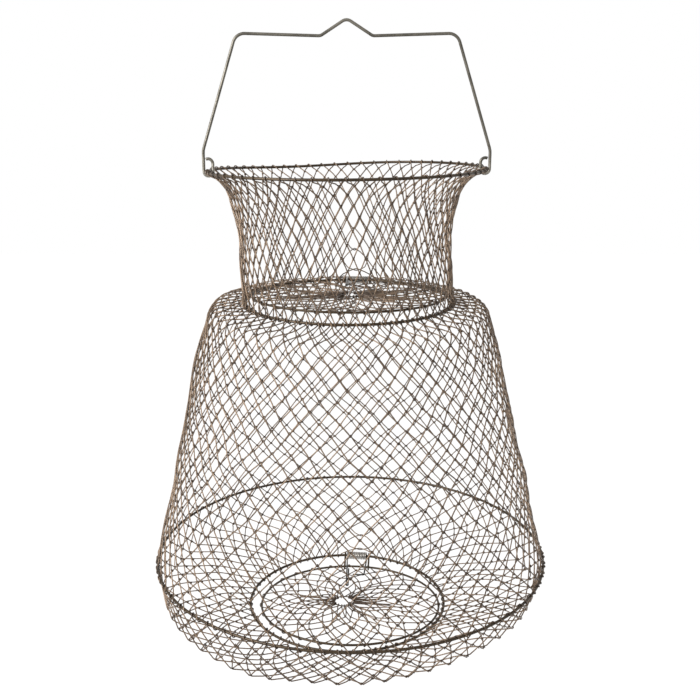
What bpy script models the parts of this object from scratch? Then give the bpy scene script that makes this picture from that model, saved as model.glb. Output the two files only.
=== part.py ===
"""A collapsible wire keepnet: four wire rings strung in a diamond-mesh tube, hung from a wire bail.

The origin is the point under the peak of the bail where a hook or a line carries the basket, and +Z
is up.  From there down come the top ring, the neck ring with its sprung door, the big ring and the
base ring with a second sprung door.  The mesh tube folds as the rings are pushed together.
"""
import math

import bpy
import numpy as np

# Wires
BAIL_WIRE = 0.0026
RING_WIRE = 0.0022
DOOR_WIRE = 0.0019
LINK_WIRE = 0.0014
SPRING_WIRE = 0.0009
EYE_WIRE = 0.0010
NET_WIRE = 0.0009

# Clearances: between touching wires, of a knuckle on its ring, of a hinge link on its wires, and
# of a spring's coil on its ring
GAP = 0.0004
KNUCKLE_PLAY = 0.0005
LINK_PLAY = 0.0007
SPRING_PLAY = 0.00155

# Rings, from the mouth down, and the drops between their planes
TOP_RADIUS = 0.1086
NECK_RADIUS = 0.085
BIG_RADIUS = 0.165
BASE_RADIUS = 0.085
NECK_DROP = 0.105
BODY_DROP = 0.222
BASE_DROP = 0.049

# Bail
BAIL_RISE = 0.1118
BAIL_PEAK_HALF_WIDTH = 0.020
BAIL_BAR_RISE = 0.0998
BAIL_SHOULDER_HALF_WIDTH = 0.0845
BAIL_SHOULDER_RADIUS = 0.009
BAIL_PEAK_RADIUS = 0.005
BAIL_LEG_BEND_RISE = 0.0145
BAIL_LEG_BEND_RADIUS = 0.012
EYE_INSIDE_HEIGHT = 0.0095
EYE_OUTER_GAP = 0.0017
EYE_INNER_GAP = 0.0009

# Mesh tube.  The real tube has over three times as many diamonds round it and down it.  The first
# phase is where the first knuckle on the top ring stands, in diamonds from +X.
DIAMONDS_ROUND = 17
FIRST_PHASE = 0.25
NECK_ROWS = 4
BODY_ROWS = 9
BASE_ROWS = 4
FLARE_LENGTH = 0.0135
SHOULDER_WIDTH = 0.030
SHOULDER_DROP = 0.0008
SHOULDER_BEND = 0.011
SIDE_SWAY = 0.0022
FOLD_INSET = 0.0065
FOLD_DROP = 0.0280
FOLD_BEND = 0.008

# How far the knuckles slide along a ring, off the bail's eyes and off a door's hinge: the half
# angle that is left free, and the half angle over which the knuckles close up beside it.
EYE_CLEAR = (math.radians(7), math.radians(40))
HINGE_CLEAR = (math.radians(12), math.radians(60))

# Doors.  The inset is from the middle of the frame ring's wire to that of the door ring's, and the
# hinges stand a little round from the back, towards +X.
DOOR_INSET = 0.007
HINGE_TURN = math.radians(5.4)
DOOR_DIAMONDS = 11
DOOR_ROWS = 3
DOOR_EYE_RADIUS = 0.0065
LINK_HALF_SPREAD = 0.0114
NECK_DOOR_BACK_RISE = 0.0012
NECK_DOOR_FRONT_RISE = 0.0084
BASE_DOOR_BACK_RISE = -0.0083
BASE_DOOR_FRONT_RISE = 0.0017

# Door springs
SPRING_TURNS = 10
SPRING_END_GAP = 0.0008
SPRING_HOOK_SETBACK = 0.0045
SPRING_BEND = 0.0012

# Fineness of the facets and of the sums
RING_FACET = 0.013
RING_SIDES = 6
BEND_STEP = math.radians(22)
EYE_UNDER_POINTS = 9
EYE_OVER_POINTS = 6
LINK_END_POINTS = 7
SPRING_TURN_POINTS = 8
FLARE_POINTS = 40
SIDE_POINTS = 24
LEG_SAMPLES = 400
LEG_HALVINGS = 50

# The top ring's plane below the origin, and the swing axis, on the bail's eyes, below that plane
TOP_Z = BAIL_WIRE / 2 - BAIL_RISE
SWING_DROP = RING_WIRE / 2 + BAIL_WIRE / 2 + GAP


def clear_scene():
    for item in list(bpy.data.objects):
        bpy.data.objects.remove(item, do_unlink=True)


def finish(name, color, roughness, metallic):
    """A Principled material of one of the basket's finishes."""
    material = bpy.data.materials.new(name)
    material.use_nodes = True
    shader = material.node_tree.nodes["Principled BSDF"]
    shader.inputs["Base Color"].default_value = (*color, 1.0)
    shader.inputs["Roughness"].default_value = roughness
    shader.inputs["Metallic"].default_value = metallic
    return material


def axis_empty(name, parent, offset):
    """An empty that stands on a joint's axis and carries the pieces that move there."""
    empty = bpy.data.objects.new(name, None)
    empty.empty_display_size = 0.02
    keepnet.objects.link(empty)
    empty.parent = parent
    empty.location = offset
    return empty


def place(item, parent, offset, material):
    """Hang a piece on its body's empty and give it its finish."""
    for collection in list(item.users_collection):
        collection.objects.unlink(item)
    keepnet.objects.link(item)
    item.parent = parent
    item.location = offset
    item.data.materials.clear()
    item.data.materials.append(material)
    return item


def ring_segments(radius):
    """An even number of facets of about RING_FACET round a ring."""
    return 2 * max(8, round(math.pi * radius / RING_FACET))


def facet_sag(radius):
    """How far the middle of a ring's facet lies inside the true circle."""
    return radius * (1 - math.cos(math.pi / ring_segments(radius)))


def wire_ring(name, radius, wire):
    """A closed ring of round wire, butt welded, as a torus."""
    bpy.ops.mesh.primitive_torus_add(
        major_segments=ring_segments(radius),
        minor_segments=RING_SIDES,
        major_radius=radius,
        minor_radius=wire / 2,
    )
    ring = bpy.context.active_object
    ring.name = name
    ring.data.name = name
    ring.data.shade_smooth()
    return ring


def bent_wire(name, run, wire, closed, resolution):
    """Round wire along a run of points, as a curve with a bevel."""
    curve = bpy.data.curves.new(name, "CURVE")
    curve.dimensions = "3D"
    curve.bevel_depth = wire / 2
    curve.bevel_resolution = resolution
    curve.use_fill_caps = True
    spline = curve.splines.new("POLY")
    spline.points.add(len(run) - 1)
    spline.use_cyclic_u = closed
    for point, position in zip(spline.points, run):
        point.co = (*position, 1.0)
    item = bpy.data.objects.new(name, curve)
    keepnet.objects.link(item)
    return item


def rounded(corners, radii):
    """A flat run of points through the corners, each inner corner rounded to its radius."""
    corners = [np.array(corner, float) for corner in corners]
    run = [corners[0]]
    for before, corner, after, radius in zip(corners, corners[1:], corners[2:], radii):
        arriving = (corner - before) / np.linalg.norm(corner - before)
        leaving = (after - corner) / np.linalg.norm(after - corner)
        turn = math.acos(np.clip(arriving @ leaving, -1, 1))
        side = math.copysign(1, arriving[0] * leaving[1] - arriving[1] * leaving[0])
        square = side * np.array([-arriving[1], arriving[0]])
        centre = corner - arriving * radius * math.tan(turn / 2) + square * radius
        count = max(2, math.ceil(turn / BEND_STEP))
        for index in range(count + 1):
            angle = turn * index / count
            run.append(centre + radius * (arriving * math.sin(angle) - square * math.cos(angle)))
    run.append(corners[-1])
    return np.array(run)


def arc(centre, radius, start, end, count):
    """Points on a flat arc, from one angle in degrees to another."""
    angles = np.radians(np.linspace(start, end, count))
    return np.array(centre) + radius * np.column_stack((np.cos(angles), np.sin(angles)))


def bail_half():
    """The right half of the bail, from its peak down the leg and round the eye to the cut end.

    The flat points are (x, height above the top ring's plane).  The eye goes round the top
    ring's wire and its end stops short of the leg.
    """
    eye_radius = (RING_WIRE + EYE_OUTER_GAP + EYE_INNER_GAP + BAIL_WIRE) / 2
    leg_x = TOP_RADIUS + RING_WIRE / 2 + EYE_OUTER_GAP + BAIL_WIRE / 2
    eye_x = leg_x - eye_radius
    low_z = eye_radius - SWING_DROP
    high_z = low_z + EYE_INSIDE_HEIGHT - 2 * eye_radius + BAIL_WIRE
    upper = rounded(
        [
            (0, BAIL_RISE),
            (BAIL_PEAK_HALF_WIDTH, BAIL_BAR_RISE),
            (BAIL_SHOULDER_HALF_WIDTH, BAIL_BAR_RISE),
            (leg_x, BAIL_LEG_BEND_RISE),
            (leg_x, low_z),
        ],
        [BAIL_PEAK_RADIUS, BAIL_SHOULDER_RADIUS, BAIL_LEG_BEND_RADIUS],
    )
    end_reach = eye_radius - BAIL_WIRE - GAP
    end_angle = math.degrees(math.acos(end_reach / eye_radius))
    under = arc((eye_x, low_z), eye_radius, 0, -180, EYE_UNDER_POINTS)
    over = arc((eye_x, high_z), eye_radius, 180, end_angle, EYE_OVER_POINTS)
    return np.vstack((upper[1:-1], under, over))


def bail_run():
    """The whole bail from one cut end to the other, with its peak at the top."""
    half = bail_half()
    mirrored = half[::-1] * np.array([-1, 1])
    flat = np.vstack((mirrored, [(0, BAIL_RISE)], half))
    return [(x, 0, TOP_Z + height) for x, height in flat]


def neck_profile():
    """Radius and height of the neck's mesh, flared up to the mouth, below the top ring's plane."""
    drop = np.linspace(0, NECK_DROP, FLARE_POINTS)
    flare = np.exp(-drop / FLARE_LENGTH) - np.exp(-NECK_DROP / FLARE_LENGTH) * drop / NECK_DROP
    return np.column_stack((NECK_RADIUS + (TOP_RADIUS - NECK_RADIUS) * flare, -drop))


def body_profile():
    """The body's mesh: a flat shoulder, a bend and a long side, below the neck ring's plane.

    The side bellies out above its middle and draws in below it, as one whole sine wave.
    """
    shoulder = (NECK_RADIUS + SHOULDER_WIDTH, -SHOULDER_DROP)
    outline = rounded([(NECK_RADIUS, 0), shoulder, (BIG_RADIUS, -BODY_DROP)], [SHOULDER_BEND])
    share = np.linspace(0, 1, SIDE_POINTS)[1:]
    side = outline[-2] + share[:, None] * (outline[-1] - outline[-2])
    side[:, 0] += SIDE_SWAY * np.sin(2 * math.pi * share)
    return np.vstack((outline[:-1], side))


def base_profile():
    """The base's mesh: down to the fold and in to the base ring, below the big ring's plane."""
    fold = (BIG_RADIUS - FOLD_INSET, -FOLD_DROP)
    return rounded([(BIG_RADIUS, 0), fold, (BASE_RADIUS, -BASE_DROP)], [FOLD_BEND])


def knuckle_levels(profile, rows, diamonds):
    """Distances along the profile of the rows of crossings, for mesh legs of one length.

    A leg spans half a diamond round the tube and one row along it, so a row is lower where the
    tube is wide.  The leg length that fills the profile is found by halving an interval.
    """
    along = np.concatenate(([0], np.cumsum(np.hypot(*np.diff(profile, axis=0).T))))
    fine = np.linspace(0, along[-1], LEG_SAMPLES)
    span = np.interp(fine, along, math.pi * profile[:, 0] / diamonds)
    shortest = span.max()
    longest = shortest + along[-1]
    for _ in range(LEG_HALVINGS):
        leg = (shortest + longest) / 2
        density = 1 / np.sqrt(leg**2 - span**2)
        covered = np.concatenate(([0], np.cumsum((density[1:] + density[:-1]) / 2 * np.diff(fine))))
        if covered[-1] > rows:
            shortest = leg
        else:
            longest = leg
    return np.interp(np.arange(rows + 1) * covered[-1] / rows, covered, fine)


def slid_clear(azimuth, obstacles):
    """The azimuth of a knuckle after it has slid along its ring, off what is hinged there."""
    for centre, (free, blend) in obstacles:
        turn = (azimuth - centre + math.pi) % (2 * math.pi) - math.pi
        if abs(turn) < blend:
            return centre + math.copysign(free + abs(turn) * (1 - free / blend), turn)
    return azimuth


def turned(flat, azimuth):
    """A point of the profile's plane, carried round the axis."""
    return (flat[0] * math.cos(azimuth), flat[0] * math.sin(azimuth), flat[1])


def single_lacing(rows, diamonds):
    """The row count, or the next one that lets a single endless wire lace the whole mesh."""
    while math.gcd(rows, diamonds) > 1:
        rows += 1
    return rows


def mesh_run(profile, rows, diamonds, phase, reach, obstacles):
    """The one endless wire of a diamond mesh that is laced between an upper and a lower ring.

    The wire runs down the outer layer to the lower ring, round it, up the inner layer to the
    upper ring and round that, half a diamond further on with each row, until it meets its start.
    reach is the distance from each ring's middle to the wire round it, and obstacles lists what
    is hinged on each ring.
    """
    along = np.concatenate(([0], np.cumsum(np.hypot(*np.diff(profile, axis=0).T))))
    levels = knuckle_levels(profile, rows, diamonds)
    places = [np.array([np.interp(level, along, column) for column in profile.T]) for level in levels]
    pitch = 2 * math.pi / diamonds
    layer = (NET_WIRE + GAP) / 2

    def normal(before, after):
        down = (after - before) / np.linalg.norm(after - before)
        return down, np.array([-down[1], down[0]])

    def crossing(level, count, side):
        _, outward = normal(places[level - 1], places[level + 1])
        return turned(places[level] + side * layer * outward, (count + phase) * pitch)

    def knuckle(level, count, way):
        end = int(way > 0)
        down, outward = normal(*(places[:2], places[-2:])[end])
        azimuth = slid_clear((count + phase) * pitch, obstacles[end])
        past = places[level] + way * reach[end] * down
        return [turned(past + side * reach[end] * outward, azimuth) for side in (way, -way)]

    run = []
    for strand in range(0, diamonds * rows, rows):
        run += knuckle(0, strand, -1)
        run += [crossing(row, strand + row / 2, 1) for row in range(1, rows)]
        run += knuckle(rows, strand + rows / 2, 1)
        run += [crossing(row, strand + rows - row / 2, -1) for row in range(rows - 1, 0, -1)]
    return run


def ring_reach(radius, wire):
    """From the middle of a ring's wire to the middle of a mesh wire laid round it."""
    return wire / 2 + NET_WIRE / 2 + KNUCKLE_PLAY + facet_sag(radius)


def wire_net(name, profile, rows, diamonds, phase, reach, obstacles):
    """The mesh between two rings, as one body of wire."""
    return bent_wire(name, mesh_run(profile, rows, diamonds, phase, reach, obstacles), NET_WIRE, True, 0)


def link_run(frame_point, door_point):
    """A long wire loop in an upright plane that holds a frame ring and a door ring together."""
    along = (door_point - frame_point) / np.linalg.norm(door_point - frame_point)
    across = np.array([-along[1], along[0]])
    radius = RING_WIRE / 2 + LINK_WIRE / 2 + LINK_PLAY
    door_radius = DOOR_WIRE / 2 + LINK_WIRE / 2 + LINK_PLAY
    door_centre = door_point + along * (door_radius - radius)
    run = []
    for centre, start in ((frame_point, 90), (door_centre, -90)):
        for x, y in arc((0, 0), radius, start, start + 180, LINK_END_POINTS):
            run.append(centre + x * along + y * across)
    return run


def spring_run(door_back, slope, first_crossing):
    """A door spring: a coil that fills the frame ring between the hinge links, then a leg from its
    left end over the door, hooked into the mesh on the door's middle line.

    Points are (x, y, z) from the middle of the hinge axis.  first_crossing is the distance from
    the back of the door ring to the mesh crossing that the hook goes behind.
    """
    coil_radius = RING_WIRE / 2 + SPRING_WIRE / 2 + SPRING_PLAY
    rise = DOOR_WIRE / 2 + GAP + SPRING_WIRE
    inward = np.array([-math.cos(slope), math.sin(slope)])
    upward = np.array([math.sin(slope), math.cos(slope)])
    knee = door_back + (first_crossing + SPRING_HOOK_SETBACK) * inward + rise * upward
    tip = knee - 2 * rise * upward
    leave = math.atan2(knee[1], knee[0]) % (2 * math.pi) - math.acos(coil_radius / np.linalg.norm(knee))
    length = 2 * (LINK_HALF_SPREAD - LINK_WIRE / 2 - SPRING_END_GAP) - SPRING_WIRE
    count = SPRING_TURNS * SPRING_TURN_POINTS
    run = []
    for index in range(count + 1):
        share = index / count
        angle = leave - 2 * math.pi * SPRING_TURNS * (1 - share)
        run.append((length * (0.5 - share), coil_radius * math.cos(angle), coil_radius * math.sin(angle)))
    run.append((0, *(knee - SPRING_BEND * inward)))
    run.append((0, *(knee - SPRING_BEND * upward)))
    run.append((0, *tip))
    return run


def least_self_gap(run, wire):
    """The least clear distance between points of a run that lie more than half a turn apart."""
    points = np.array(run)
    apart = SPRING_TURN_POINTS // 2
    least = min(
        np.linalg.norm(points[index + apart:] - point, axis=1).min()
        for index, point in enumerate(points[:-apart])
    )
    return least - wire


def door(place_name, frame_body, frame_radius, back_rise, front_rise):
    """A sprung door: its ring, mesh, eye, two hinge links and torsion spring.

    The rises are those of the door ring's back and front over its frame ring's plane.
    """
    radius = frame_radius - DOOR_INSET
    hinge_y = math.sqrt(frame_radius**2 - LINK_HALF_SPREAD**2)
    slope = math.asin((front_rise - back_rise) / (2 * radius))
    tilt = (-slope, 0, 0)
    middle_rise = (front_rise + back_rise) / 2
    middle = (0, -hinge_y, middle_rise)
    hinge_middle = (hinge_y * math.sin(HINGE_TURN), hinge_y * math.cos(HINGE_TURN), 0)
    body = axis_empty(place_name + "_door_hinge", frame_body, hinge_middle)
    body.rotation_euler = (0, 0, -HINGE_TURN)

    ring = wire_ring(place_name + "_door_ring", radius, DOOR_WIRE)
    place(ring, body, middle, bronze).rotation_euler = tilt
    eye = wire_ring(place_name + "_door_eye", DOOR_EYE_RADIUS, EYE_WIRE)
    place(eye, body, middle, bronze).rotation_euler = tilt
    profile = np.array([(radius, 0), (DOOR_EYE_RADIUS, 0)])
    reach = (ring_reach(radius, DOOR_WIRE), ring_reach(DOOR_EYE_RADIUS, EYE_WIRE))
    rows = single_lacing(DOOR_ROWS, DOOR_DIAMONDS)
    phase = DOOR_DIAMONDS / 4 + 0.5
    net = wire_net(place_name + "_door_net", profile, rows, DOOR_DIAMONDS, phase, reach, ((), ()))
    place(net, body, middle, mesh_brown).rotation_euler = tilt

    backward = np.array([math.cos(slope), -math.sin(slope)])
    ring_middle = np.array([-hinge_y, middle_rise])
    at_link = ring_middle + math.sqrt(radius**2 - LINK_HALF_SPREAD**2) * backward
    for side, side_name in ((-1, "left"), (1, "right")):
        run = [(0, y, z) for y, z in link_run(np.zeros(2), at_link)]
        link = bent_wire(f"{place_name}_door_link_{side_name}", run, LINK_WIRE, True, 1)
        place(link, body, (side * LINK_HALF_SPREAD, 0, 0), bronze)

    first_crossing = knuckle_levels(profile, rows, DOOR_DIAMONDS)[1]
    run = spring_run(ring_middle + radius * backward, slope, first_crossing)
    print(f"{place_name} door spring, least gap to itself {least_self_gap(run, SPRING_WIRE) * 1000:.2f} mm")
    spring = bent_wire(place_name + "_door_spring", run, SPRING_WIRE, False, 1)
    place(spring, body, (0, 0, 0), spring_steel)


clear_scene()
keepnet = bpy.data.collections.new("keepnet")
bpy.context.scene.collection.children.link(keepnet)
bronze = finish("bronze_lacquer", (0.055, 0.040, 0.028), 0.38, 1.0)
mesh_brown = finish("mesh_brown", (0.115, 0.080, 0.052), 0.42, 1.0)
bail_steel = finish("bail_steel", (0.150, 0.135, 0.115), 0.35, 1.0)
spring_steel = finish("spring_steel", (0.300, 0.290, 0.280), 0.30, 1.0)

# The bail hangs from the origin and carries the top ring in its two eyes.
bail = bent_wire("bail", bail_run(), BAIL_WIRE, False, 2)
place(bail, None, (0, 0, 0), bail_steel)

# The rings, each on the axis that it moves on
top_body = axis_empty("bail_swing", None, (0, 0, TOP_Z - SWING_DROP))
neck_body = axis_empty("neck_collapse", top_body, (0, 0, SWING_DROP - NECK_DROP))
big_body = axis_empty("body_collapse", neck_body, (0, 0, -BODY_DROP))
base_body = axis_empty("base_collapse", big_body, (0, 0, -BASE_DROP))
place(wire_ring("top_ring", TOP_RADIUS, RING_WIRE), top_body, (0, 0, SWING_DROP), bronze)
place(wire_ring("neck_ring", NECK_RADIUS, RING_WIRE), neck_body, (0, 0, 0), bronze)
place(wire_ring("big_ring", BIG_RADIUS, RING_WIRE), big_body, (0, 0, 0), bronze)
place(wire_ring("base_ring", BASE_RADIUS, RING_WIRE), base_body, (0, 0, 0), bronze)

# The mesh tube, in the three lengths between the rings.  The knuckles of two lengths that meet
# on a ring lie half a diamond apart.
top_reach = ring_reach(TOP_RADIUS, RING_WIRE)
neck_reach = ring_reach(NECK_RADIUS, RING_WIRE)
big_reach = ring_reach(BIG_RADIUS, RING_WIRE)
base_reach = ring_reach(BASE_RADIUS, RING_WIRE)
eyes = [(0, EYE_CLEAR), (math.pi, EYE_CLEAR)]
hinge = [(math.pi / 2 - HINGE_TURN, HINGE_CLEAR)]
tube = [
    ("neck_net", top_body, SWING_DROP, neck_profile(), NECK_ROWS, (top_reach, neck_reach), (eyes, hinge)),
    ("body_net", neck_body, 0, body_profile(), BODY_ROWS, (neck_reach, big_reach), (hinge, ())),
    ("base_net", big_body, 0, base_profile(), BASE_ROWS, (big_reach, base_reach), ((), hinge)),
]
phase = FIRST_PHASE
for name, body, height, profile, wanted_rows, reach, obstacles in tube:
    rows = single_lacing(wanted_rows, DIAMONDS_ROUND)
    net = wire_net(name, profile, rows, DIAMONDS_ROUND, phase, reach, obstacles)
    place(net, body, (0, 0, height), mesh_brown)
    phase += rows / 2 + 0.5

door("neck", neck_body, NECK_RADIUS, NECK_DOOR_BACK_RISE, NECK_DOOR_FRONT_RISE)
door("base", base_body, BASE_RADIUS, BASE_DOOR_BACK_RISE, BASE_DOOR_FRONT_RISE)
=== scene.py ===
"""A collapsible fish keepnet of lacquered wire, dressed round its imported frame.

Lengths are in metres.  The basket hangs along Z from the origin, which lies under the peak of its
bail, and the camera looks along +Y.
"""
import math

import bpy
import numpy as np
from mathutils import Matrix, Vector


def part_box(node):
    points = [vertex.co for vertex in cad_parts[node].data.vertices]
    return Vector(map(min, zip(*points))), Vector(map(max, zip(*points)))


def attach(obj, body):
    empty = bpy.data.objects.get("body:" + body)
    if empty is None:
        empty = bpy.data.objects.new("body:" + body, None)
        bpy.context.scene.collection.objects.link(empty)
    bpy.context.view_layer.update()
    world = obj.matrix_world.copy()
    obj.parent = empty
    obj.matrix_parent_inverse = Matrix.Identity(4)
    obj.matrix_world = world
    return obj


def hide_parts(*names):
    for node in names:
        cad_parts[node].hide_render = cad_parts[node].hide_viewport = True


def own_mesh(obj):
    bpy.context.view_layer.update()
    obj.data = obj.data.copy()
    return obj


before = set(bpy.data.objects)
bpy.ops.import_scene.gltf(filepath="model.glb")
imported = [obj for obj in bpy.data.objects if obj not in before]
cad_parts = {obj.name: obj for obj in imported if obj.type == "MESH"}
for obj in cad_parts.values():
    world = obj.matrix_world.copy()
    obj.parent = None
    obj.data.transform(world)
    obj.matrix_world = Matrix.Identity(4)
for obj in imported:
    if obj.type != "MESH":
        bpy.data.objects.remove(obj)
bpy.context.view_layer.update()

# The camera stands 0.77 m in front of the basket's axis, level with the middle of its bail, and
# is tipped down.  Its place and lens were fitted to the ellipses of the four rings.
CAMERA_PLACE = (0.0010, -0.7720, -0.0595)
CAMERA_DIP = math.radians(14.48)
CAMERA_LENS = 49.6
camera = bpy.data.objects.new("camera", bpy.data.cameras.new("camera"))
camera.data.lens = CAMERA_LENS
camera.location = CAMERA_PLACE
camera.rotation_euler = (math.pi / 2 - CAMERA_DIP, 0, 0)
bpy.context.scene.collection.objects.link(camera)
bpy.context.scene.camera = camera

# The bail is one length of hard-drawn steel wire, bent on a jig: a peak in the middle of its
# crossbar for a hook or a line, two sloped legs, and at each foot an eye that is closed round the
# mouth ring and left unwelded.
BAIL_WIRE = 0.0024
BAIL_SIDES = 16
BAIL_RISE = 0.1118
BAIL_PEAK_HALF_WIDTH = 0.020
BAIL_PEAK_FOOT_RISE = 0.0991
BAIL_SHOULDER_RISE = 0.1010
BAIL_SHOULDER_HALF_WIDTH = 0.0845
BAIL_LEG_BEND_RISE = 0.0135
BAIL_BEND_RADII = (0.006, 0.005, 0.009, 0.012)
BAIL_MIDDLE_WIDTH = 1e-6
BAIL_EYE_HEIGHT = 0.0099
BAIL_EYE_OUTER_GAP = 0.0017
BAIL_EYE_INNER_GAP = 0.0009
BAIL_EYE_END_GAP = 0.0022
BAIL_EYE_TIP_GAP = 0.0002
BAIL_PEAK_WEAR = 0.55
BAIL_PEAK_WORN_WIDTH = 0.006
BAIL_EYE_WEAR = 0.7
BAIL_EYE_WORN_RISE = 0.004
MOUTH_SWAY = -0.0016
MOUTH_DROP = 0.0010
MOUTH_ROLL = 0.0010
RING_WIRE = 0.0022
BEND_STEP = math.radians(7)
BEND_LEAST_POINTS = 3
PATCH_SCALE = 85
PATCH_DETAIL = 3
PATCH_SHARE = 0.6
MOTTLE_SCALE = 900
MOTTLE_DETAIL = 2
MOTTLE_SHARE = 0.4
DIE_LINE_SCALE = (60, 5000, 5000)
DIE_LINE_DETAIL = 2
DIE_LINE_STRENGTH = 0.35
DIE_LINE_DEPTH = 0.00008
GRAIN_STRENGTH = 0.25
GRAIN_DEPTH = 0.0001
WEAR_AND_SHADE_SHARE = 0.4
TONE_LOW = 0.36
TONE_HIGH = 0.64
WORN_BREAK_UP = 1.2
WORN_LOW = 0.55
WORN_HIGH = 1.05
ROUGHNESS_SPREAD = 0.3
LACQUER_ROUGHNESS = 0.22

# A colour Mix node's factor, its two colours and its result, by the numbers of their sockets.
MIX_FACTOR, MIX_FIRST, MIX_SECOND, MIX_RESULT = 0, 6, 7, 2


class Shade:
    """An output socket of a material's nodes, on which sums are written as on a number."""

    def __init__(self, tree, socket=None):
        self.tree = tree
        self.socket = socket

    def node(self, kind, settings=(), sockets=(), output=0):
        """A new node of one kind: its settings first, then the values or links of its sockets."""
        node = self.tree.nodes.new(kind)
        for setting, value in dict(settings).items():
            setattr(node, setting, value)
        for key, value in dict(sockets).items():
            if isinstance(value, Shade):
                self.tree.links.new(value.socket, node.inputs[key])
            else:
                node.inputs[key].default_value = value
        return Shade(self.tree, node.outputs[output] if node.outputs else None)

    def sum(self, operation, first, second):
        """The result of one Math node on two numbers or sockets."""
        return self.node("ShaderNodeMath", {"operation": operation}, {0: first, 1: second})

    def __add__(self, other):
        return self.sum("ADD", self, other)

    __radd__ = __add__

    def __sub__(self, other):
        return self.sum("SUBTRACT", self, other)

    def __rsub__(self, other):
        return self.sum("SUBTRACT", other, self)

    def __mul__(self, other):
        return self.sum("MULTIPLY", self, other)

    __rmul__ = __mul__


def wire_finish(name, coat, deep, bare, rough, metal, lacquer):
    """Drawn wire, bare or lacquered, as a material.

    The coat and its deep tone are mixed by soft patches about 12 mm across and by a fine mottle.
    Bare metal shows where the wear attribute, broken up by the mottle, is high.  Below zero the
    attribute is painted shade, which gives more of the deep tone.  Two bumps lie on it: die lines,
    which are noise drawn out along the straightened wire, and the grain of the coat.
    """
    material = bpy.data.materials.new(name)
    material.use_nodes = True
    material.node_tree.nodes.clear()
    start = Shade(material.node_tree)
    place = start.node("ShaderNodeTexCoord", output="Object")
    straight = start.node("ShaderNodeAttribute", {"attribute_name": "straight"}, output="Vector")
    wear_and_shade = start.node("ShaderNodeAttribute", {"attribute_name": "wear_and_shade"}, output="Fac")
    patches = start.node(
        "ShaderNodeTexNoise", {}, {"Vector": place, "Scale": PATCH_SCALE, "Detail": PATCH_DETAIL}
    )
    mottle = start.node(
        "ShaderNodeTexNoise", {}, {"Vector": place, "Scale": MOTTLE_SCALE, "Detail": MOTTLE_DETAIL}
    )
    drawn = start.node("ShaderNodeMapping", {}, {"Vector": straight, "Scale": DIE_LINE_SCALE})
    lines = start.node(
        "ShaderNodeTexNoise", {}, {"Vector": drawn, "Scale": 1, "Detail": DIE_LINE_DETAIL}
    )
    tone = start.node(
        "ShaderNodeMapRange",
        {"interpolation_type": "SMOOTHSTEP"},
        {
            "Value": patches * PATCH_SHARE + mottle * MOTTLE_SHARE + wear_and_shade * WEAR_AND_SHADE_SHARE,
            "From Min": TONE_LOW,
            "From Max": TONE_HIGH,
        },
    )
    worn = start.node(
        "ShaderNodeMapRange",
        {"interpolation_type": "SMOOTHSTEP"},
        {
            "Value": wear_and_shade + (mottle - 0.5) * WORN_BREAK_UP,
            "From Min": WORN_LOW,
            "From Max": WORN_HIGH,
        },
    )
    coloured = start.node(
        "ShaderNodeMix",
        {"data_type": "RGBA"},
        {MIX_FACTOR: tone, MIX_FIRST: (*deep, 1), MIX_SECOND: (*coat, 1)},
        MIX_RESULT,
    )
    colour = start.node(
        "ShaderNodeMix",
        {"data_type": "RGBA"},
        {MIX_FACTOR: worn, MIX_FIRST: coloured, MIX_SECOND: (*bare, 1)},
        MIX_RESULT,
    )
    drawing = start.node(
        "ShaderNodeBump",
        {},
        {"Strength": DIE_LINE_STRENGTH, "Distance": DIE_LINE_DEPTH, "Height": lines},
    )
    grain = start.node(
        "ShaderNodeBump",
        {},
        {
            "Strength": GRAIN_STRENGTH,
            "Distance": GRAIN_DEPTH,
            "Height": mottle,
            "Normal": drawing,
        },
    )
    shader = start.node(
        "ShaderNodeBsdfPrincipled",
        {},
        {
            "Base Color": colour,
            "Metallic": metal + (1 - metal) * worn,
            "Roughness": rough + (patches - 0.5) * ROUGHNESS_SPREAD,
            "Coat Weight": lacquer * (1 - worn),
            "Coat Roughness": LACQUER_ROUGHNESS,
            "Normal": grain,
        },
    )
    start.node("ShaderNodeOutputMaterial", {}, {"Surface": shader})
    return material


def rounded(corners, radii, step):
    """A flat run through the corners, with an arc of its radius and steps of an angle at each bend.

    The arc's centre lies off the corner by radius x tan(half the turn) back along the way in, and
    then by the radius square to it.
    """
    corners = np.array(corners, float)
    pieces = [corners[:1]]
    for before, corner, after, radius in zip(corners, corners[1:], corners[2:], radii):
        arriving = (corner - before) / np.linalg.norm(corner - before)
        leaving = (after - corner) / np.linalg.norm(after - corner)
        turn = math.acos(np.clip(arriving @ leaving, -1, 1))
        side = math.copysign(1, arriving[0] * leaving[1] - arriving[1] * leaving[0])
        square = side * np.array([-arriving[1], arriving[0]])
        centre = corner - arriving * radius * math.tan(turn / 2) + square * radius
        count = max(BEND_LEAST_POINTS, math.ceil(turn / step))
        angles = np.linspace(0, turn, count)[:, None]
        pieces.append(centre + radius * (arriving * np.sin(angles) - square * np.cos(angles)))
    pieces.append(corners[-1:])
    return np.vstack(pieces)


def arc(centre, radius, start, end, step):
    """Points on a flat arc from one angle to another, about a step apart."""
    count = max(BEND_LEAST_POINTS, math.ceil(abs(end - start) / step) + 1)
    angles = np.linspace(start, end, count)[:, None]
    return np.array(centre) + radius * np.hstack((np.cos(angles), np.sin(angles)))


def unit(vectors):
    """The same vectors, each divided by its length."""
    return vectors / np.linalg.norm(vectors, axis=-1, keepdims=True)


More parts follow.
